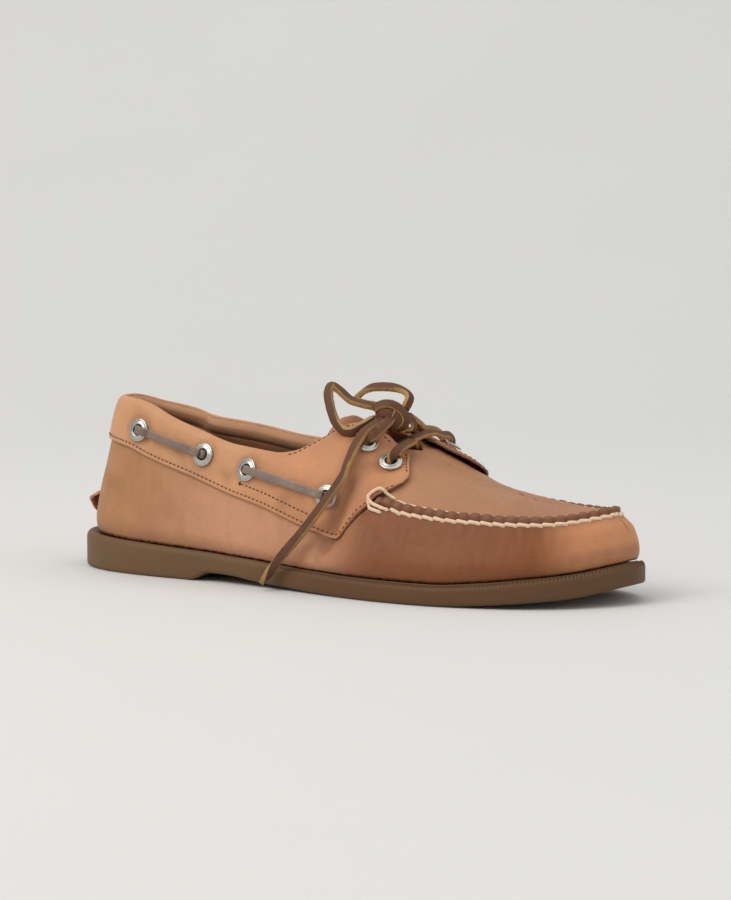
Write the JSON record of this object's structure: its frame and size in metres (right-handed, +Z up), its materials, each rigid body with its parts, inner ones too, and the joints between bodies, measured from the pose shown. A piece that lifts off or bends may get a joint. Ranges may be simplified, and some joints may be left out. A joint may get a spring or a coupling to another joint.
{
  "type": "boat shoe",
  "caption": "Right leather boat shoe with a moc toe, a padded collar panel laced through metal eyelets, a tied lace and a flat moulded sole.",
  "frame": {"origin": "on the floor, under the middle of the sole's box", "axes": "+X towards the toe, +Y towards the inner (medial) side, +Z up"},
  "size_m": [0.292, 0.1027, 0.0919],
  "materials": {
    "outsole": "matt moulded rubber, taupe brown",
    "insole": "smooth sock lining",
    "upper": "waxed pull-up leather",
    "collar_panel": "waxed pull-up leather, lighter",
    "eyelets": "satin",
    "lace": "rawhide, brown with pale cut edges"
  },
  "bodies": {
    "root": {"outsole": "outsole", "insole": "insole", "upper": "upper", "collar_panel": "collar_panel", "tongue": "upper", "heel_tab": "collar_panel", "eyelet_outer_rear": "eyelets", "eyelet_outer_mid_rear": "eyelets", "eyelet_outer_mid_front": "eyelets", "eyelet_outer_side_front": "eyelets", "eyelet_outer_top": "eyelets", "eyelet_outer_throat_front": "eyelets", "eyelet_inner_rear": "eyelets", "eyelet_inner_mid_rear": "eyelets", "eyelet_inner_mid_front": "eyelets", "eyelet_inner_side_front": "eyelets", "eyelet_inner_top": "eyelets", "eyelet_inner_throat_front": "eyelets", "lace_bar_outer_rear": "lace", "lace_bar_outer_front": "lace", "lace_bar_inner_rear": "lace", "lace_bar_inner_front": "lace", "lace_crossing": "lace", "lace_knot": "lace", "lace_loop_rear": "lace", "lace_loop_front": "lace", "lace_end_outer": "lace", "lace_end_inner": "lace"}
  },
  "joints": []
}
